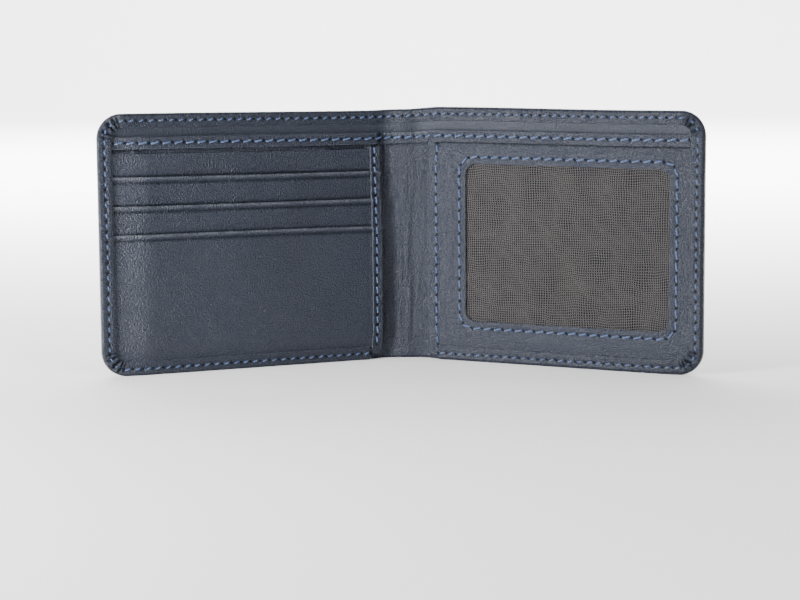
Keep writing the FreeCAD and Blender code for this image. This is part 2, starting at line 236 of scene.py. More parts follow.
def make_piece(name, side, flat, faces, material, rigid=True, pattern=None, painted_light_and_wear=None,
               inner_layer=False):
    """A smooth mesh from points on the flat pattern, folded, and attached to its body if it is rigid."""
    flat = np.array(flat, float)
    if inner_layer:
        flat[:, 0], flat[:, 2] = confined(flat[:, 0], flat[:, 2], INNER_LIMIT)
        flat[:, 1] = pressed(*flat.T)
    faces = np.asarray(faces)
    if SIDES[side]["sign"] < 0:
        faces = faces[:, ::-1]
    mesh = bpy.data.meshes.new(name)
    mesh.from_pydata(folded(side, flat, rigid).tolist(), [], faces.tolist())
    pattern = flat[:, [0, 2]] if pattern is None else np.asarray(pattern, float)
    corners = np.empty(len(mesh.loops), int)
    mesh.loops.foreach_get("vertex_index", corners)
    layer = mesh.uv_layers.new(name="pattern")
    layer.uv.foreach_set("vector", (pattern[corners] * MM).astype(np.float32).ravel())
    # Painted light and rubbing: above 0 on edges paler from rubbing and painted highlights, below 0 where
    # shade is painted
    light_and_wear_layer = mesh.attributes.new("painted_light_and_wear", "FLOAT", "POINT")
    values = np.zeros(len(flat)) if painted_light_and_wear is None else np.asarray(painted_light_and_wear, float)
    light_and_wear_layer.data.foreach_set("value", values.astype(np.float32))
    mesh.polygons.foreach_set("use_smooth", np.ones(len(faces), bool))
    mesh.materials.append(material)
    mesh.update()
    piece = bpy.data.objects.new(name, mesh)
    bpy.context.collection.objects.link(piece)
    attach(piece, side, rigid)
    return piece


# Seams: each is a row of needle holes on the flat pattern
def seam_from(points, pitch, closed=False):
    """Needle holes and tangents at an even pitch along a line of (x, z) points."""
    points = np.asarray(points, float)
    if closed:
        points = np.vstack([points, points[:1]])
    steps = np.linalg.norm(np.diff(points, axis=0), axis=1)
    along = np.concatenate([[0], np.cumsum(steps)])
    count = max(int(round(along[-1] / pitch)), 1)
    s = np.linspace(0, along[-1], count + 1)
    holes = np.column_stack([np.interp(s, along, points[:, i]) for i in (0, 1)])
    ahead = np.column_stack([np.interp(np.minimum(s + 0.2, along[-1]), along, points[:, i]) for i in (0, 1)])
    behind = np.column_stack([np.interp(np.maximum(s - 0.2, 0), along, points[:, i]) for i in (0, 1)])
    tangents = (ahead - behind) / np.linalg.norm(ahead - behind, axis=1)[:, None]
    return holes, tangents


def rounded_path(inset, start_x, end_x):
    """Points along a panel's edge at an inset: top from start_x, free edge, bottom to end_x."""
    radius = CORNER - inset
    centre_x, top, low = EDGE - CORNER, HEIGHT - CORNER, CORNER
    turn = np.linspace(0, math.pi / 2, 13)
    upper = np.column_stack([centre_x + radius * np.sin(turn), top + radius * np.cos(turn)])
    lower = np.column_stack([centre_x + radius * np.cos(turn), low - radius * np.sin(turn)])
    return np.vstack([[(start_x, HEIGHT - inset)], upper, lower, [(end_x, inset)]])


def seam_relief(x, z, seams, groove, pit):
    """How far seams draw the leather in: a shallow groove with a pit at each hole."""
    total = np.zeros(np.broadcast(x, z).shape)
    for holes, _ in seams:
        low, high = holes.min(axis=0) - 3, holes.max(axis=0) + 3
        near = (x > low[0]) & (x < high[0]) & (z > low[1]) & (z < high[1])
        points = np.column_stack([x[near], z[near]])
        nearest = np.full(len(points), 1e9)
        nearest_hole = np.full(len(points), 1e9)
        for a, b in zip(holes[:-1], holes[1:]):
            step = b - a
            t = np.clip((points - a) @ step / (step @ step), 0, 1)
            nearest = np.minimum(nearest, np.linalg.norm(points - a - t[:, None] * step, axis=1))
            nearest_hole = np.minimum(nearest_hole, np.linalg.norm(points - a, axis=1))
        nearest_hole = np.minimum(nearest_hole, np.linalg.norm(points - holes[-1], axis=1))
        total[near] += groove * np.exp(-((nearest / 0.85) ** 2))
        total[near] += pit * np.exp(-((nearest_hole / 0.6) ** 2))
    return total


def stitch_seam(name, side, seam, face, rigid, outside, gap, rise):
    """Two-ply stitches from hole to hole, and the dark holes of painted shade, on a face of known depth.

    Every stitch rises to the right as its own side of the leather is looked at. The gap is from
    a hole's middle to the stitch's end, and the rise is the stitch's height over the face.
    """
    holes, tangents = seam
    normals = np.column_stack([-tangents[:, 1], tangents[:, 0]])
    lift = -1.0 if outside else 1.0
    lean = -SIDES[side]["sign"] * lift
    steps, ring = 11, 6
    t = np.linspace(0, 1, steps)
    spin = np.linspace(0, 2 * math.pi, ring, endpoint=False)
    arch = rise * np.sin(math.pi * t) ** 0.5 - 0.4 * np.exp(-(np.minimum(t, 1 - t) / 0.09) ** 2)
    points, patterns, bases = [], [], []
    for i in range(len(holes) - 1):
        slant = lean * SLANT * (0.5 + 0.5 * abs(tangents[i, 0]))
        start = holes[i] + normals[i] * slant + tangents[i] * gap
        end = holes[i + 1] - normals[i + 1] * slant - tangents[i + 1] * gap
        direction = (end - start) / np.linalg.norm(end - start)
        across = np.array([-direction[1], direction[0]])
        base = float(face(*((start + end) / 2)))
        bases.append(base)
        for ply in (0, math.pi):
            twist = ply + t * PLY_TURN + i
            centre = start + (end - start) * t[:, None] + across * (PLY_SWING * np.cos(twist))[:, None]
            height = arch + PLY_SWING * np.sin(twist)
            for j in range(steps):
                xz = centre[j] + across * (THREAD * np.cos(spin))[:, None]
                depth = base + lift * (height[j] + THREAD * np.sin(spin))
                points.append(np.column_stack([xz[:, 0], depth, xz[:, 1]]))
                patterns.append(np.column_stack([np.full(ring, 3.5 * t[j]), spin + 3 * i]))
    faces = tube_faces(2 * len(bases), steps, ring)
    stitches = make_piece(f"{name}_thread", side, np.vstack(points), faces, THREAD_MATERIAL,
                          rigid, pattern=np.vstack(patterns))
    depths = (np.array(bases[:1] + bases) + np.array(bases + bases[-1:])) / 2
    needle_holes(f"{name}_needle_holes", side, seam, depths, lean, rigid, outside)
    return stitches


def needle_holes(name, side, seam, depths, lean, rigid, outside):
    """Dark slanting ovals of painted shade, one for each hole of a seam."""
    corners = 8
    turn = np.linspace(0, 2 * math.pi, corners, endpoint=False)
    along, across = HOLE_HALF[0] * np.cos(turn)[:, None], HOLE_HALF[1] * np.sin(turn)[:, None]
    discs = []
    for hole, tangent, depth in zip(*seam, depths):
        normal = np.array([-tangent[1], tangent[0]])
        long_way = tangent * 0.75 + normal * lean * 0.66
        short_way = np.array([-long_way[1], long_way[0]])
        oval = hole + along * long_way + across * short_way
        discs.append(np.column_stack([oval[:, 0], np.full(corners, depth), oval[:, 1]]))
    faces = np.arange(len(discs) * corners).reshape(-1, corners)
    if outside:
        faces = faces[:, ::-1]
    make_piece(name, side, np.vstack(discs), faces, HOLE_MATERIAL, rigid)


# Materials
MIX_FIRST, MIX_SECOND, MIX_RESULT = 6, 7, 2      # colour sockets of a Mix node


def node(tree, kind, inputs=None, **settings):
    """A shader node with its properties and its unlinked inputs set."""
    made = tree.nodes.new(kind)
    for key, value in settings.items():
        setattr(made, key, value)
    for key, value in (inputs or {}).items():
        made.inputs[key].default_value = value
    return made


def new_material(name):
    """An empty node material with its shader: (material, tree, shader)."""
    material = bpy.data.materials.new(name)
    material.use_nodes = True
    tree = material.node_tree
    return material, tree, tree.nodes["Principled BSDF"]


def mixed(tree, factor, first, second):
    """Mixes two colours, each of them RGB values or a socket, by a factor's socket."""
    mix = node(tree, "ShaderNodeMix", data_type="RGBA")
    tree.links.new(factor, mix.inputs[0])
    for socket, colour in ((MIX_FIRST, first), (MIX_SECOND, second)):
        if isinstance(colour, tuple):
            mix.inputs[socket].default_value = (*colour, 1)
        else:
            tree.links.new(colour, mix.inputs[socket])
    return mix.outputs[MIX_RESULT]


def raised(tree, base, height, share):
    """A base height plus a share of another, both of them sockets."""
    total = node(tree, "ShaderNodeMath", {1: share}, operation="MULTIPLY_ADD")
    tree.links.new(height, total.inputs[0])
    tree.links.new(base, total.inputs[2])
    return total.outputs[0]


def ramp(tree, source, low, high, start, end):
    """Remaps a value between two limits to the range from start to end."""
    made = node(tree, "ShaderNodeMapRange", {1: low, 2: high, 3: start, 4: end})
    tree.links.new(source, made.inputs[0])
    return made.outputs[0]


def leather_material(name, colour, light, roughness, grain):
    """Satin leather: pebbled grain, soft tone changes, edges paler from rubbing and painted highlights, and
    painted shade in creases and shadows.

    The mesh's attribute of painted light and rubbing is above 0 on edges paler from rubbing and painted
    highlights, and below 0 where shade is painted into creases, pleats, edges and shadows, where the
    specular is turned down too.
    """
    material, tree, shader = new_material(name)
    link = tree.links.new
    metres = node(tree, "ShaderNodeUVMap", uv_map="pattern").outputs[0]
    pebbles = node(tree, "ShaderNodeTexVoronoi", {"Scale": 2100.0, "Randomness": 1.0},
                   feature="SMOOTH_F1")
    grains = node(tree, "ShaderNodeTexNoise", {"Scale": 1900.0, "Detail": 2.0, "Roughness": 0.5})
    stretch = node(tree, "ShaderNodeMapping", {"Scale": (1.0, 0.6, 1.0)})
    creases = node(tree, "ShaderNodeTexNoise", {"Scale": 300.0, "Detail": 3.0, "Distortion": 0.8})
    clouds = node(tree, "ShaderNodeTexNoise", {"Scale": 34.0, "Detail": 3.0})
    link(metres, stretch.inputs[0])
    link(stretch.outputs[0], creases.inputs["Vector"])
    for texture in (pebbles, grains, clouds):
        link(metres, texture.inputs["Vector"])
    pebbles, grains, creases, clouds = (texture.outputs[0] for texture in (pebbles, grains, creases, clouds))
    painted_light_and_wear = node(tree, "ShaderNodeAttribute", attribute_name="painted_light_and_wear").outputs["Fac"]
    patchy = node(tree, "ShaderNodeMath", operation="MULTIPLY")
    link(painted_light_and_wear, patchy.inputs[0])
    link(ramp(tree, creases, 0.35, 0.65, 0.35, 0.9), patchy.inputs[1])

    tone = mixed(tree, ramp(tree, clouds, 0.3, 0.7, 0.0, 0.5), colour, light)
    speckled = mixed(tree, ramp(tree, grains, 0.42, 0.64, 0.0, 0.9), tone, light)
    # Paler where edges are rubbed and where highlights are painted on them
    rubbed_and_highlit = mixed(tree, patchy.outputs[0], speckled, RUBBED_AND_HIGHLIGHT)
    # Painted shade where the attribute is below 0: creases, pleats, edges and cast shadows
    painted_shade_colour = tuple(0.25 * c for c in colour)
    with_painted_shade = mixed(tree, ramp(tree, painted_light_and_wear, 0.0, -1.0, 0.0, 1.0), rubbed_and_highlit, painted_shade_colour)
    link(with_painted_shade, shader.inputs["Base Color"])
    link(ramp(tree, grains, 0.40, 0.60, roughness + 0.10, roughness - 0.08), shader.inputs["Roughness"])
    # The painted shade also turns the specular down
    link(ramp(tree, painted_light_and_wear, 0.0, -1.0, 0.45, 0.08), shader.inputs["Specular IOR Level"])
    shader.inputs["IOR"].default_value = 1.47

    bump = node(tree, "ShaderNodeBump", {"Strength": grain, "Distance": 0.0006})
    height = raised(tree, raised(tree, grains, pebbles, 0.5), creases, 0.15)
    link(height, bump.inputs["Height"])
    link(bump.outputs[0], shader.inputs["Normal"])
    return material


def thread_material(name, colour, light, scale, roughness):
    """Twisted thread: fine slanting fibres along each ply."""
    material, tree, shader = new_material(name)
    link = tree.links.new
    pattern = node(tree, "ShaderNodeUVMap", uv_map="pattern")
    fibres = node(tree, "ShaderNodeTexWave", {"Scale": scale, "Distortion": 3.0, "Detail": 2.0},
                  bands_direction="DIAGONAL")
    link(pattern.outputs[0], fibres.inputs["Vector"])
    link(mixed(tree, fibres.outputs["Fac"], colour, light), shader.inputs["Base Color"])
    bump = node(tree, "ShaderNodeBump", {"Strength": 0.5, "Distance": 0.00004})
    link(fibres.outputs["Fac"], bump.inputs["Height"])
    link(bump.outputs[0], shader.inputs["Normal"])
    shader.inputs["Roughness"].default_value = roughness
    shader.inputs["Sheen Weight"].default_value = 0.1
    return material


def hole_material(name):
    """Shadow inside a needle hole, with a little fibre showing."""
    material, tree, shader = new_material(name)
    fluff = node(tree, "ShaderNodeTexNoise", {"Scale": 4000.0})
    pattern = node(tree, "ShaderNodeUVMap", uv_map="pattern")
    tree.links.new(pattern.outputs[0], fluff.inputs["Vector"])
    tone = mixed(tree, fluff.outputs[0], (0.002, 0.0025, 0.004), (0.006, 0.008, 0.013))
    tree.links.new(tone, shader.inputs["Base Color"])
    shader.inputs["Roughness"].default_value = 0.9
    shader.inputs["Specular IOR Level"].default_value = 0.1
    return material


NAVY = (0.0037, 0.0061, 0.0148)
NAVY_LIGHT = (0.0115, 0.0160, 0.0295)
# Paler colour of edges from rubbing, also used to paint highlights on the lips and turned edges
RUBBED_AND_HIGHLIGHT = (0.075, 0.083, 0.098)
OUTER_LEATHER = leather_material("navy_outer_leather", NAVY, NAVY_LIGHT, 0.33, 0.8)
INNER_LEATHER = leather_material("navy_inner_leather", NAVY, NAVY_LIGHT, 0.33, 0.9)
LINING_MATERIAL = leather_material("dark_lining", (0.006, 0.0085, 0.018), (0.016, 0.021, 0.034), 0.55, 0.6)
THREAD_MATERIAL = thread_material("blue_thread", (0.022, 0.040, 0.095), (0.085, 0.145, 0.31), 900.0, 0.5)
NET_MATERIAL = thread_material("brown_net_yarn", (0.012, 0.0109, 0.0108), (0.085, 0.077, 0.0755), 700.0, 0.5)
HOLE_MATERIAL = hole_material("needle_hole")


# Depths of the layered panels
def mouth_beads(z):
    """Thickness added by the turned mouth edges of the pockets, and the creases pressed below them."""
    total = np.zeros(np.shape(z))
    for _, high in POCKETS:
        total = total + 0.30 * np.exp(-(((z - high[2] + 0.8) / 0.75) ** 2))
        total = total - 0.16 * np.exp(-(((z - high[2] + 2.2) / 0.5) ** 2))
    return total


def card_levels(z):
    """Depth of the card panel's pockets at a height, where each lies over the ones behind it."""
    depth = np.full(np.shape(z), BACKING_HIGH[1])
    for _, high in POCKETS:
        depth = depth + (high[1] - depth) * smooth((high[2] + 0.9 - z) / 1.6)
    return depth


def frame_levels(x, z):
    """Depth of the window frame's face, which leans back to its top edge."""
    lean = (FRAME_HIGH[1] - WALL_FACE - FRAME_THICKNESS) * smooth((z - FRAME_HIGH[2] + 11) / 11)
    sag = 0.18 * waves(x, z, 34, 5)
    return FRAME_HIGH[1] - lean + sag * smooth((FRAME_HIGH[2] - z) / 10)


def wall_hem_depth(side, x):
    """Depth of the hem along the compartment wall: it steps up over the pockets."""
    start = STRIP_LOW[0] if side == "card" else FRAME_LOW[0]
    over_pockets = smooth((x - start + 0.8) / 2.4)
    return WALL_FACE + TURNED + HEM_STEP * over_pockets


def under_edge(side, x, z):
    """Depth of whatever a panel's turned edge lies on."""
    pockets = card_levels(z) + mouth_beads(z) if side == "card" else frame_levels(x, z)
    hem = wall_hem_depth(side, x)
    stack = pressed(x, pockets + (hem - pockets) * smooth((z - HEM_BOTTOM + 0.3) / 0.9), z)
    start = smooth((x - HALF_SPINE - 6.8) / 1.6)
    above = smooth((z - WALL_TOP + 0.2) / 1.8)
    return LINING_FACE + (stack - LINING_FACE) * start * (1 - above)


# Seams shared by the pieces
def edge_seam(outside):
    """The seam round a panel's edge, from the middle of the spine to the foot of the fold."""
    end = HALF_SPINE + (8.4 if outside else 7.8)
    return seam_from(rounded_path(SEAM_INSET, 0.0, end), EDGE_PITCH)


def upright_seam(x, top, bottom):
    """A straight seam at one distance from the spine."""
    return seam_from([(x, top), (x, bottom)], EDGE_PITCH)


EDGE_SEAM = {outside: edge_seam(outside) for outside in (False, True)}      # by the face it shows on
WALL_SEAM_Z = WALL_TOP - WALL_SEAM_DROP
WALL_SEAM = seam_from([(0.0, WALL_SEAM_Z), (EDGE - HEM - 0.6, WALL_SEAM_Z)], WALL_PITCH)
STACK_SEAM = upright_seam(HALF_SPINE + STACK_SEAM_X, HEM_BOTTOM - 0.4, SEAM_FOOT)
MOUTH_SEAM = upright_seam(HALF_SPINE + MOUTH_SEAM_X, HEM_BOTTOM - 0.6, SEAM_FOOT)


def window_seam():
    """The seam round the window, with rounded corners."""
    shift = SEAM_INSET - SEAM_TURN
    low_x, low_z, high_x, high_z = WINDOW + np.array([-shift, -shift, shift, shift])
    turn = np.linspace(0, math.pi / 2, 7)
    outline = []
    for start, x, z in ((90, high_x, high_z), (0, high_x, low_z), (-90, low_x, low_z), (180, low_x, high_z)):
        angles = math.radians(start) - turn
        outline += list(zip(x + SEAM_TURN * np.cos(angles), z + SEAM_TURN * np.sin(angles)))
    return seam_from(outline, WINDOW_PITCH, closed=True)


WINDOW_SEAM = window_seam()


# Cover
def round_corner(p, q, inset):
    """Moves grid points near a panel's outer corners on to its rounded outline."""
    radius = CORNER - inset
    x, z = p.copy(), q.copy()
    centre_x = EDGE - CORNER
    for centre_z, way in ((HEIGHT - CORNER, 1), (CORNER, -1)):
        a = (p - centre_x) / radius
        b = way * (q - centre_z) / radius
        near = (a > 0) & (b > 0)
        x[near] = centre_x + radius * (a * np.sqrt(np.maximum(1 - b * b / 2, 0)))[near]
        z[near] = centre_z + way * radius * (b * np.sqrt(np.maximum(1 - a * a / 2, 0)))[near]
    return x, z


def edge_frame(x, z):
    """Nearest corner centre line and outward direction for points by a panel's edge."""
    centre = np.column_stack([np.minimum(x, EDGE - CORNER), np.clip(z, CORNER, HEIGHT - CORNER)])
    away = np.column_stack([x, z]) - centre
    return centre, away / np.linalg.norm(away, axis=1)[:, None]


def emblem_relief(x, z):
    """A small plain lozenge pressed into the card side's cover."""
    centre_x, centre_z, half_width, half_height, depth = EDGE - 16.5, 17.0, 5.2, 6.5, 0.4
    ridge = abs(abs(x - centre_x) / half_width + abs(z - centre_z) / half_height - 1.0)
    return depth * np.exp(-((ridge / 0.13) ** 2))


def outer_face(side, x, z):
    """Depth of the cover's outside, which is crowned, from the middle of its leather."""
    inset = np.minimum(np.minimum(EDGE - x, HEIGHT - z), z)
    crown = 0.35 * smooth((inset - SEAM_INSET) / 9)
    hem_line = 0.10 * np.exp(-(((HEIGHT - 7.6 - z) / 0.7) ** 2))
    dent = 0.5 * np.exp(-(((x - HALF_SPINE - 8) / 5) ** 2 + ((z - 2) / 7) ** 2))
    surface = COVER_FACE + crown + 0.10 * waves(x, z, 45, 3) * smooth(inset / 8) - hem_line - dent
    surface = surface - seam_relief(x, z, [EDGE_SEAM[True]], *OUTSIDE_SEAM_GROOVE)
    if side == "card":
        surface = surface - emblem_relief(x, z)
    return -surface


def pleats(x, z, inset):
    """Gathered leather fanning out of the rounded corners, deeper towards the hem's raw edge."""
    total = np.zeros(len(x))
    for centre_z, way in ((HEIGHT - CORNER, 1), (CORNER, -1)):
        a, b = x - (EDGE - CORNER), way * (z - centre_z)
        turn = np.arctan2(b, a)
        inside = smooth(turn / 0.35) * smooth((math.pi / 2 - turn) / 0.35) * ((a > -1) & (b > -1))
        ridges = np.cos(turn * 20 + 1.3 * np.sin(turn * 5)) * (0.75 + 0.25 * np.cos(turn * 7))
        total += 0.5 * inside * ridges * smooth((inset - 0.4) / 1.6)
    return total


def hem_face(side, x, z, inset):
    """Depth of the turned edge's face."""
    base = under_edge(side, x, z) + TURNED
    crown = 0.16 * np.sin(math.pi * np.clip((inset - ROUND) / (HEM - ROUND), 0, 1))
    relief = seam_relief(x, z, [EDGE_SEAM[False]], *SEAM_GROOVE)
    return base + crown - relief + pleats(x, z, inset) + 0.07 * waves(x, z, 9, 11)


def cover_piece(side):
    """Cover leather of one half: its outside, the rounded edge and the hem turned over it."""
    columns = spaced((0, HALF_SPINE + BAND, 0.4), (HALF_SPINE + BAND, EDGE - CORNER, GRID),
                     (EDGE - CORNER, EDGE - ROUND, 0.3))
    rows = spaced((ROUND, CORNER, 0.35), (CORNER, HEIGHT - CORNER, GRID),
                  (HEIGHT - CORNER, HEIGHT - ROUND, 0.35))
    p, q = (grid.ravel() for grid in np.meshgrid(columns, rows))
    x, z = round_corner(p, q, ROUND)
    points = [np.column_stack([x, outer_face(side, x, z), z])]
    count_x, count_z = len(columns), len(rows)
    faces = [grid_faces(count_z, count_x)]

    last = (count_z - 1) * count_x
    border = np.concatenate([
        last + np.arange(count_x),
        np.arange(count_z - 2, -1, -1) * count_x + count_x - 1,
        np.arange(count_x - 2, -1, -1),
    ])
    centre, away = edge_frame(x[border], z[border])

    def ring(inset):
        """Points along the outline, this far in from the edge."""
        return centre + away * (CORNER - inset)

    rings, painted_light_and_wear, pattern = [], [np.zeros(len(x))], [np.column_stack([x, z])]
    outer_start = points[0][border, 1]
    # Painted shade on the rounded outer edge, the cut edge and the rounding into the hem
    for turn in np.radians([22, 45, 67, 90]):
        xz = ring(ROUND * (1 - math.sin(turn)))
        rings.append((xz, outer_start + ROUND * (1 - math.cos(turn)), -0.3 * math.sin(turn)))
    front_edge = hem_face(side, *ring(ROUND).T, np.full(len(border), ROUND)) - ROUND
    wall_xz, wall_start = rings[-1][0], rings[-1][1]
    for share in (0.33, 0.67, 1.0):
        rings.append((wall_xz, wall_start + (front_edge - wall_start) * share, -0.35))
    for turn in np.radians([22, 45, 67]):
        xz = ring(ROUND * (1 - math.cos(turn)))
        rings.append((xz, front_edge + ROUND * math.sin(turn), -0.4))
    for inset in np.arange(ROUND, HEM + 0.01, 0.2):
        xz = ring(inset)
        insets = np.full(len(border), inset)
        # Painted shade in the valleys of the pleats
        light_and_wear = np.clip(2 * pleats(*xz.T, insets) - 0.1, -0.9, 0)
        rings.append((xz, hem_face(side, *xz.T, insets), light_and_wear))
    last_depth = rings[-1][1]
    # Paler raw edge of the hem: rubbing and a painted highlight
    for beyond, drop, light_and_wear in ((0.12, 0.06, 0.9), (0.2, 0.25, 0.7), (0.2, 0.75, 0.0), (-0.6, 0.9, 0.0)):
        rings.append((ring(HEM + beyond), last_depth - drop, light_and_wear))

    previous = border
    for i, (xz, depth, light_and_wear) in enumerate(rings):
        start = sum(len(block) for block in points)
        points.append(np.column_stack([xz[:, 0], depth, xz[:, 1]]))
        painted_light_and_wear.append(light_and_wear + np.zeros(len(border)))
        pattern.append(xz + away * i * 0.4 + [0, 200])
        current = start + np.arange(len(border))
        faces.append(np.column_stack([previous[:-1], current[:-1], current[1:], previous[1:]])[:, ::-1])
        previous = current
    piece = make_piece(f"cover_and_turned_edge_{side}_half", side, np.vstack(points), np.vstack(faces),
                       OUTER_LEATHER, rigid=False, pattern=np.vstack(pattern),
                       painted_light_and_wear=np.concatenate(painted_light_and_wear))
    own = [f"cover_{side}_side", f"side_turning_{side}_side", f"bottom_turning_{side}_side",
           f"top_turning_{side}_side"]
    if side == "card":
        own += ["cover_spine", "top_turning_spine", "bottom_turning_spine"]
    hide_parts(*own)


def lining_piece(side):
    """Thin lining of the note compartment, glued to the cover."""
    columns = spaced((0, HALF_SPINE + BAND, 0.8), (HALF_SPINE + BAND, EDGE - CORNER, 4),
                     (EDGE - CORNER, EDGE - INNER_INSET, 1))
    rows = spaced((INNER_INSET, CORNER, 1), (CORNER, HEIGHT - CORNER, 4),
                  (HEIGHT - CORNER, HEIGHT - INNER_INSET, 1))
    p, q = (grid.ravel() for grid in np.meshgrid(columns, rows))
    x, z = round_corner(p, q, INNER_INSET)
    depth = LINING_FACE + 0.05 * waves(x, z, 20, 17)
    piece = make_piece(f"lining_{side}_half", side, np.column_stack([x, depth, z]),
                       grid_faces(len(rows), len(columns), flip=True), LINING_MATERIAL,
                       rigid=False)
    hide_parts(f"lining_{side}_side", *(["lining_spine"] if side == "card" else []))


def stacked(stages):
    """Points and painted light and rubbing of a grid from its lines, each (x, depth, z, painted light and
    rubbing) as arrays or numbers.
    """
    grid = np.vstack([np.column_stack(np.broadcast_arrays(*stage)) for stage in stages])
    return grid[:, :3], grid[:, 3]


def wall_piece(side):
    """Wall of the note compartment with its hem turned over the top edge."""
    columns = spaced((0, HALF_SPINE + BAND, 0.4), (HALF_SPINE + BAND, EDGE - INNER_INSET, GRID))
    top = WALL_TOP + 0.12 * waves(columns, 0 * columns, 60, 23)
    groove = 0.9 * np.exp(-(((columns - STRIP_LOW[0] + 1.1) / 1.1) ** 2)) if side == "card" else 0
    back = WALL_LOW[1] - groove
    hem_front = wall_hem_depth(side, columns) - groove
    half = (hem_front - back) / 2
    # Painted shade on the wall behind the window's net
    painted_shade_behind_window = -0.85 * smooth((columns - FRAME_LOW[0] - 3) / 2) if side == "window" else 0

    def wrinkles(z):
        """Upright wrinkles of the leather that crosses the spine."""
        in_gap = 1 - smooth((columns - HALF_SPINE - 2) / 3)
        fine = 0.07 * waves(columns, 0.06 * z + 0 * columns, 1.3, 61)
        return in_gap * (0.18 * waves(columns, 0.12 * z + 0 * columns, 3.2, 29) + fine)

    stages = [(columns, back, z, 0) for z in (1.8, 30, 60, 76)]
    # Paler rounded top edge: rubbing and a painted highlight
    for turn in np.radians(np.linspace(0, 180, 9)):
        depth, z = back + half * (1 - math.cos(turn)), top - half * (1 - math.sin(turn))
        stages.append((columns, depth, z, 0.35 * math.sin(turn)))
    for z in np.arange(WALL_TOP - 1.4, HEM_BOTTOM + 0.25, -0.3):
        crown = HEM_CROWN * math.sin(math.pi * (z - HEM_BOTTOM) / (WALL_TOP - HEM_BOTTOM))
        relief = seam_relief(columns, z + 0 * columns, [WALL_SEAM], *SEAM_GROOVE)
        stages.append((columns, hem_front + crown - relief + 0.04 * waves(columns, z, 8, 31), z, 0))
    # Paler raw edge of the hem: rubbing and a painted highlight
    for z, drop, light_and_wear in ((HEM_BOTTOM + 0.08, 0.05, 0.8), (HEM_BOTTOM, 0.22, 0.3)):
        stages.append((columns, hem_front - drop, z, light_and_wear))
    for z in spaced((1.8, 12, 1.2), (12, HEM_BOTTOM, 2))[::-1]:
        depth = WALL_FACE - groove + wrinkles(z) * smooth((HEM_BOTTOM - z) / 2)
        stages.append((columns, depth, z, painted_shade_behind_window if z < HEM_BOTTOM - 3 else 0))

    points, painted_light_and_wear = stacked(stages)
    free_edge = points.reshape(len(stages), len(columns), 3)[:, -1]
    steps = np.linalg.norm(np.diff(free_edge, axis=0), axis=1)
    along = np.repeat(np.concatenate([[0], np.cumsum(steps)]), len(columns))
    piece = make_piece(f"note_wall_{side}_half", side, points, grid_faces(len(stages), len(columns)),
                       INNER_LEATHER, rigid=False,
                       pattern=np.column_stack([points[:, 0], 900 - along]), painted_light_and_wear=painted_light_and_wear, inner_layer=True)
    own = [f"note_wall_{side}_side", f"note_wall_hem_{side}_side"]
    if side == "card":
        own += ["note_wall_spine", "note_wall_hem_spine"]
    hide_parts(*own)


def pocket_piece(name, cad_node, low, high, mouth):
    """One sheet of the card stack. Its mouth edge is turned, and a crease runs just below it."""
    start = STRIP_LOW[0] + 0.9
    columns = spaced((start, start + 8, 0.5), (start + 8, EDGE - 12, 1.2),
                     (EDGE - 12, EDGE - INNER_INSET, 0.5))
    back, top = low[1], high[2] + (0 if mouth else 2.0)
    arch = np.sin(math.pi * np.clip((columns - start) / (columns[-1] - start), 0, 1))
    slack = 0.22 * arch ** 2
    bow = 0.25 * arch * math.sin(7 * top)

    # Heights at which another sheet's edge lies on this one and shades it
    shadows = [high_next[2] + 0.3 for _, high_next in POCKETS if high_next[2] < top - 1]
    if not mouth:
        shadows.append(HEM_BOTTOM - 0.2)

    def painted_shadow(z):
        """Painted shadow on the leather at those heights."""
        return -0.8 * sum(math.exp(-(((z - line) / 0.5) ** 2)) for line in shadows)

    def face(z):
        """Depth of the sheet's face along its columns, at one height."""
        at = z + 0 * columns
        over = card_levels(at) if mouth else np.full(len(columns), high[1])
        own = np.minimum(over, high[1])
        nearby = np.exp(-(((top - z) / 6.0) ** 2))
        step_line = -0.10 * np.exp(-(((columns - HALF_SPINE - 8.9) / 0.35) ** 2)) * smooth((top - z) / 1.5)
        tilt = 0.3 * sum(math.exp(-(((z - line) / 3.0) ** 2)) for line in shadows if line < HEM_BOTTOM - 1)
        return own + slack * nearby + 0.10 * waves(columns, at, 26, int(top)) + step_line - tilt

    stages = [(columns, back, z, 0) for z in (2.0, top - 12, top - 3)]
    lip = face(top - 0.5) + (0.22 if mouth else 0.12)
    half = (lip - back) / 2
    # Paler lip of the mouth edge: rubbing and a painted highlight
    for turn in np.radians(np.linspace(30, 180, 7)):
        height = 0.45 * math.sin(turn) if mouth else 0.1
        light_and_wear = 0.75 * math.sin(turn / 2) ** 3 if mouth else 0
        stages.append((columns, back + half * (1 - math.cos(turn)), top + bow - 0.35 + height, light_and_wear))
    # Paler just below the lip, then painted shade in the crease under the mouth
    for below, lift, light_and_wear in ((0.5, 0.26, 0.6), (0.8, 0.30, 0.25), (1.2, 0.24, 0.0), (1.5, 0.10, -0.2),
                              (1.8, -0.12, -0.5), (2.1, -0.22, -0.7), (2.4, -0.14, -0.4),
                              (2.8, -0.03, 0.0), (3.4, 0.0, 0.0)):
        if not mouth:
            lift, light_and_wear = 0, 0
        stages.append((columns, face(top - below) + lift, top + bow - below, light_and_wear))
    fine = [line + step for line in shadows for step in (-0.8, -0.4, 0, 0.4, 0.8, 1.4)]
    for z in np.sort(np.concatenate([spaced((2.0, top - 4, 1.5)), fine]))[::-1]:
        stages.append((columns, face(z), z + bow * smooth((z - top + 14) / 10), painted_shadow(z)))
    points, painted_light_and_wear = stacked(stages)
    piece = make_piece(name, "card", points, grid_faces(len(stages), len(columns)), INNER_LEATHER,
                       pattern=points[:, [0, 2]] + [0, 100 * back], painted_light_and_wear=painted_light_and_wear,
                       inner_layer=True)
    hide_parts(cad_node)


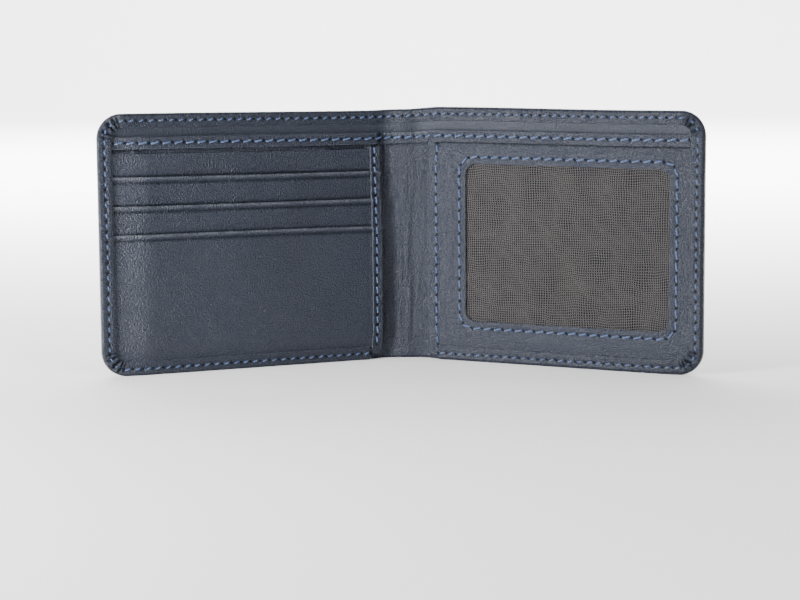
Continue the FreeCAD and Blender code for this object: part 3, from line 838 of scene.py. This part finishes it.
def strip_levels(z):
    """Depth of the stack's turned strip, which dips under the wall's hem at its top."""
    return card_levels(z) + mouth_beads(z) + TURNED - HEM_STEP * smooth((z - HEM_BOTTOM + 1.0) / 0.9)


def strip_face(x, z):
    """Depth of the stack's turned strip with its seam."""
    relief = seam_relief(x, z, [STACK_SEAM], *SEAM_GROOVE)
    return strip_levels(z) - relief + 0.05 * waves(x, z, 7, 37)


def strip_piece():
    """Strip turned over the mouth edge of the card stack, with rounded layers showing at its side."""
    rows = spaced((HEM - 1.2, HEM_BOTTOM + 0.6, 0.4))
    left, right = STRIP_LOW[0], STRIP_HIGH[0]
    back = BACKING_LOW[1] - 0.1
    face = strip_levels(rows)
    stages = [(left + 3, back, rows, 0), (left + 0.3, back, rows, 0)]
    # Paler side and rounded edges of the strip, here and below: rubbing and painted highlights
    for share in (0.0, 0.33, 0.66):
        bulge = 0.12 * math.sin(share * 9)
        depth = back + 0.3 + (face - ROUND * 0.7 - back - 0.3) * share
        stages.append((left - bulge, depth, rows, 0.2))
    for turn in np.radians([0, 22, 45, 67, 90]):
        x = left + ROUND * 0.8 * (1 - math.cos(turn))
        stages.append((x, face - ROUND * 0.7 * (1 - math.sin(turn)), rows, 0.4))
    for x in np.arange(left + 1.0, right - 0.05, 0.25):
        stages.append((x, strip_face(x + 0 * rows, rows), rows, 0))
    for drop, light_and_wear in ((0.2, 0.5), (TURNED + 0.15, 0)):
        stages.append((right + 0.05, face - drop, rows, light_and_wear))
    points, painted_light_and_wear = stacked(stages)
    piece = make_piece("card_stack_turned_strip", "card", points,
                       grid_faces(len(stages), len(rows), flip=True), INNER_LEATHER,
                       pattern=points[:, [0, 2]] + [300, 0], painted_light_and_wear=painted_light_and_wear, inner_layer=True)
    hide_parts("card_stack_turning")


# Window pocket
def frame_face(x, z):
    """Depth of the window frame's face with its seams and the ridge of the strip beneath."""
    ridge = 0.14 * (1 - smooth((x - HALF_SPINE - 11.9) / 0.8))
    return frame_levels(x, z) + ridge - seam_relief(x, z, [MOUTH_SEAM, WINDOW_SEAM], *FRAME_SEAM_GROOVE)


def window_samples():
    """Corner centres and outward directions of points round the window, anticlockwise."""
    centres, directions = [], []
    low_x, low_z = WINDOW[0] + WINDOW_RADIUS, WINDOW[1] + WINDOW_RADIUS
    high_x, high_z = WINDOW[2] - WINDOW_RADIUS, WINDOW[3] - WINDOW_RADIUS
    corners = [(high_x, high_z), (low_x, high_z), (low_x, low_z), (high_x, low_z)]
    for i, corner in enumerate(corners):
        for a in np.radians(90 * i + np.linspace(0, 90, 13)):
            centres.append(corner)
            directions.append((math.cos(a), math.sin(a)))
        following = np.array(corners[(i + 1) % 4])
        steps = int(np.linalg.norm(following - corner) / GRID)
        for share in np.linspace(0, 1, steps)[1:-1]:
            centres.append(corner + (following - corner) * share)
            directions.append(directions[-1])
    return np.array(centres), np.array(directions)


def frame_piece():
    """Window frame: leather from the rounded window out to its turned mouth edge."""
    centres, directions = window_samples()
    reach_low = np.array([FRAME_LOW[0], 2.0])
    reach_high = np.array([FRAME_HIGH[0], FRAME_HIGH[2] + 2.0])
    loops = []                               # (x and z, drop below the face, painted light and rubbing)
    # Paler edge of the window: rubbing and a painted highlight
    for offset, drop, light_and_wear in ((0.1, FRAME_THICKNESS, 0), (0.0, 0.5, 0.1), (0.03, 0.18, 0.4),
                               (0.15, 0.04, 0.3)):
        loops.append((centres + directions * (WINDOW_RADIUS + offset), drop, light_and_wear))
    for offset in spaced((0.4, 1.6, 0.4), (1.6, 3.4, 0.25), (3.4, 4.4, 0.5)):
        loops.append((centres + directions * (WINDOW_RADIUS + offset), 0.0, 0.0))
    inner = loops[-1][0]
    square = directions / np.abs(directions).max(axis=1)[:, None]
    outer = centres + np.where(square > 0, square * (reach_high - centres), -square * (reach_low - centres))
    for share in np.linspace(0, 1, 30)[1:]:
        loops.append((inner + (outer - inner) * share, 0.0, 0.0))
    away = (outer - inner) / np.linalg.norm(outer - inner, axis=1)[:, None]
    # Paler mouth edge: rubbing and a painted highlight
    for beyond, drop, light_and_wear in ((0.25, 0.12, 0.5), (0.4, 0.4, 0.4), (0.35, 0.8, 0.1), (0.0, 1.1, 0.0)):
        loops.append((outer + away * beyond, drop, light_and_wear))

    points, painted_light_and_wear = [], []
    for xz, drop, light_and_wear in loops:
        depth = frame_face(xz[:, 0], xz[:, 1]) - drop
        ring = np.column_stack([xz[:, 0], depth, xz[:, 1]])
        points.append(np.vstack([ring, ring[:1]]))
        # Painted shadow where the wall's hem lies over the frame
        painted_shadow_under_hem = np.exp(-(((points[-1][:, 2] - HEM_BOTTOM + 0.2) / 0.5) ** 2))
        painted_light_and_wear.append(light_and_wear - 0.8 * painted_shadow_under_hem)
    points = np.vstack(points)
    piece = make_piece("window_frame_leather", "window", points,
                       grid_faces(len(loops), len(centres) + 1), INNER_LEATHER,
                       pattern=points[:, [0, 2]] + [0, 500], painted_light_and_wear=np.concatenate(painted_light_and_wear), inner_layer=True)
    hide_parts("window_frame", "window_mouth_turning")


def net_piece(name, upright):
    """The yarns of the window's plain weave that run one way."""
    low, high = np.array([NET_LOW[0], NET_LOW[2]]), np.array([NET_HIGH[0], NET_HIGH[2]])
    across, along = (0, 1) if upright else (1, 0)
    yarns = np.arange(low[across], high[across], NET_PITCH)
    stations = np.arange(low[along], high[along], NET_PITCH / 2)
    yarn_index, station_index = np.meshgrid(np.arange(len(yarns)), np.arange(len(stations)), indexing="ij")
    plane = np.empty(yarn_index.shape + (2,))
    plane[..., across] = yarns[yarn_index]
    plane[..., along] = stations[station_index]
    x, z = plane[..., 0], plane[..., 1]
    side_sway = 0.5 * waves(x, z, 19, 41) + 0.16 * waves(x, z, 6, 43)
    level_sway = 0.5 * waves(x, z, 17, 47) + 0.16 * waves(x, z, 7, 53)
    weave = np.cos(math.pi * (station_index / 2 + yarn_index)) * (1 if upright else -1)
    behind = np.minimum(frame_levels(x, z) - FRAME_THICKNESS - 0.32, FRAME_HIGH[1] - FRAME_THICKNESS - 0.1)
    middle = behind + 0.11 * weave + 0.12 * waves(x, z, 15, 59)
    points = []
    for turn in np.radians([45, 135, 225, 315]):
        point = np.empty(x.shape + (3,))
        point[..., 0], point[..., 2] = x + side_sway, z + level_sway
        point[..., 0 if upright else 2] += YARN_WIDTH * math.cos(turn)
        point[..., 1] = middle + YARN_HEIGHT * math.sin(turn)
        points.append(point)
    tubes = np.stack(points, axis=2)
    pattern = tubes[..., [0, 2]] if upright else tubes[..., [2, 0]]
    faces = tube_faces(len(yarns), len(stations), 4)
    piece = make_piece(name, "window", tubes.reshape(-1, 3), faces if upright else faces[:, ::-1],
                       NET_MATERIAL, pattern=pattern.reshape(-1, 2), inner_layer=True)
    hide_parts("window_net")
    return piece


# Putting the wallet together
def single(surface, inner_layer):
    """The depth of a surface at one point, from a function of arrays."""

    def depth_at(x, z):
        x, z = np.array([float(x)]), np.array([float(z)])
        depth = surface(x, z)
        return pressed(x, depth, z)[0] if inner_layer else depth[0]

    return depth_at


def edge_stitches_face(side, x, z):
    """Depth that the stitches on the turned edge lie on, below the pleats."""
    middle = 1.8
    return hem_face(side, x, z, middle) - pleats(x, z, middle) - 0.05


def wall_stitches_face(side, x, z):
    """Depth that the stitches on the wall's hem lie on."""
    return wall_hem_depth(side, x) + HEM_CROWN - seam_relief(x, z, [WALL_SEAM], *SEAM_GROOVE)


def build_side(side):
    """Everything of one half of the wallet."""
    cover_piece(side)
    lining_piece(side)
    wall_piece(side)
    # Each seam's name: its holes, the face that it lies on, whether it is rigid, what it stands for
    seams = {
        "outer_edge": (EDGE_SEAM[True], lambda x, z: outer_face(side, x, z), False,
                       [f"perimeter_stitching_{side}_side"]),
        "inner_edge": (EDGE_SEAM[False], lambda x, z: edge_stitches_face(side, x, z), False,
                       ["perimeter_stitching_spine"]),
        "note_wall": (WALL_SEAM, lambda x, z: wall_stitches_face(side, x, z), False,
                      [f"note_wall_stitching_{side}_side", "note_wall_stitching_spine"]),
    }
    if side == "card":
        pocket_piece("card_backing", "card_pocket_backing", BACKING_LOW, BACKING_HIGH, mouth=False)
        for i, (low, high) in enumerate(POCKETS, 1):
            pocket_piece(f"card_pocket_sheet_{i}", f"card_pocket_{i}", low, high, mouth=True)
        strip_piece()
        seams["stack"] = (STACK_SEAM, strip_face, True, ["card_stack_stitching"])
    else:
        frame_piece()
        warp = net_piece("window_net_warp", upright=True)
        weft = net_piece("window_net_weft", upright=False)
        seams["window_mouth"] = (MOUTH_SEAM, frame_face, True, ["window_mouth_stitching"])
        seams["window"] = (WINDOW_SEAM, frame_face, True, ["window_stitching"])
    for name, (seam, surface, rigid, stands_for) in seams.items():
        gap, rise = (0.95, 0.10) if name == "inner_edge" else (0.55, 0.24)
        thread = stitch_seam(f"{name}_{side}_seam", side, seam,
                             single(surface, inner_layer=not name.endswith("edge")), rigid,
                             outside=name == "outer_edge", gap=gap, rise=rise)
        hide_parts(*stands_for)


# Stage, lights and camera
def plain_material(name, colour):
    """Pale matt floor."""
    material, _, shader = new_material(name)
    shader.inputs["Base Color"].default_value = (*colour, 1)
    shader.inputs["Roughness"].default_value = 0.8
    return material


def add_floor():
    """Pale floor that curves up behind the wallet, far enough away to be plain."""
    half, back, radius = 8.0, 3.0, 1.5
    turn = np.radians(np.linspace(0, 90, 13))
    section = [(-half, 0.0)] + [(back + radius * math.sin(a), radius * (1 - math.cos(a))) for a in turn]
    section.append((back + radius, 6.0))
    points = [(x, y, z) for y, z in section for x in (-half, half)]
    faces = [(2 * i, 2 * i + 1, 2 * i + 3, 2 * i + 2) for i in range(len(section) - 1)]
    mesh = bpy.data.meshes.new("floor")
    mesh.from_pydata(points, [], faces)
    mesh.polygons.foreach_set("use_smooth", [True] * len(faces))
    mesh.materials.append(plain_material("pale_floor", (0.93, 0.93, 0.93)))
    floor = bpy.data.objects.new("floor", mesh)
    bpy.context.collection.objects.link(floor)


def add_light(name, place, target, width, height, power):
    """A soft rectangular lamp aimed at a point."""
    lamp = bpy.data.lights.new(name, "AREA")
    lamp.shape = "RECTANGLE"
    lamp.size, lamp.size_y, lamp.energy = width, height, power
    holder = bpy.data.objects.new(name, lamp)
    holder.location = place
    holder.visible_camera = False
    holder.rotation_euler = (Vector(target) - Vector(place)).to_track_quat("-Z", "Y").to_euler()
    bpy.context.collection.objects.link(holder)


def add_world(strength):
    """Even white light from all round."""
    world = bpy.data.worlds.new("studio")
    world.use_nodes = True
    world.node_tree.nodes["Background"].inputs[0].default_value = (1.0, 1.0, 1.0, 1)
    world.node_tree.nodes["Background"].inputs[1].default_value = strength
    bpy.context.scene.world = world


def add_camera(place, target, lens, roll):
    """Camera at a point, aimed at another, turned a little about its own axis."""
    camera = bpy.data.cameras.new("camera")
    camera.lens = lens
    camera.clip_start, camera.clip_end = 0.01, 100
    holder = bpy.data.objects.new("camera", camera)
    aim = (Vector(target) - Vector(place)).to_track_quat("-Z", "Y").to_matrix()
    turned = aim @ Matrix.Rotation(math.radians(roll), 3, "Z")
    holder.matrix_world = Matrix.Translation(place) @ turned.to_4x4()
    bpy.context.collection.objects.link(holder)
    bpy.context.scene.camera = holder


for side_name in SIDES:
    build_side(side_name)

# Metres and watts from here on
fold_y = SPINE_Y * MM
add_floor()
add_world(0.25)
add_light("key", (-0.44, -0.36, 0.12), (0.03, 0, 0.05), 0.16, 0.16, 8.4)
add_light("side", (-0.40, -0.17, 0.14), (0.04, 0, 0.06), 0.16, 0.16, 0.7)
add_light("fill", (0.40, -0.60, 0.38), (-0.07, 0, 0.07), 0.20, 0.20, 3.0)
add_light("top", (0.0, -0.15, 0.85), (0, 0, 0.05), 0.9, 0.6, 3.6)
add_light("rear", (-0.5, 1.3, 1.2), (0, 0, 0.0), 1.2, 1.0, 18.0)
add_light("backdrop", (0.0, 0.9, 1.6), (0, 3.2, 0.2), 3.0, 1.0, 600)
add_camera((0.01787, fold_y - 0.73668, 0.1106), (-0.00106, fold_y - 0.020, 0.0238), 90, -0.37)
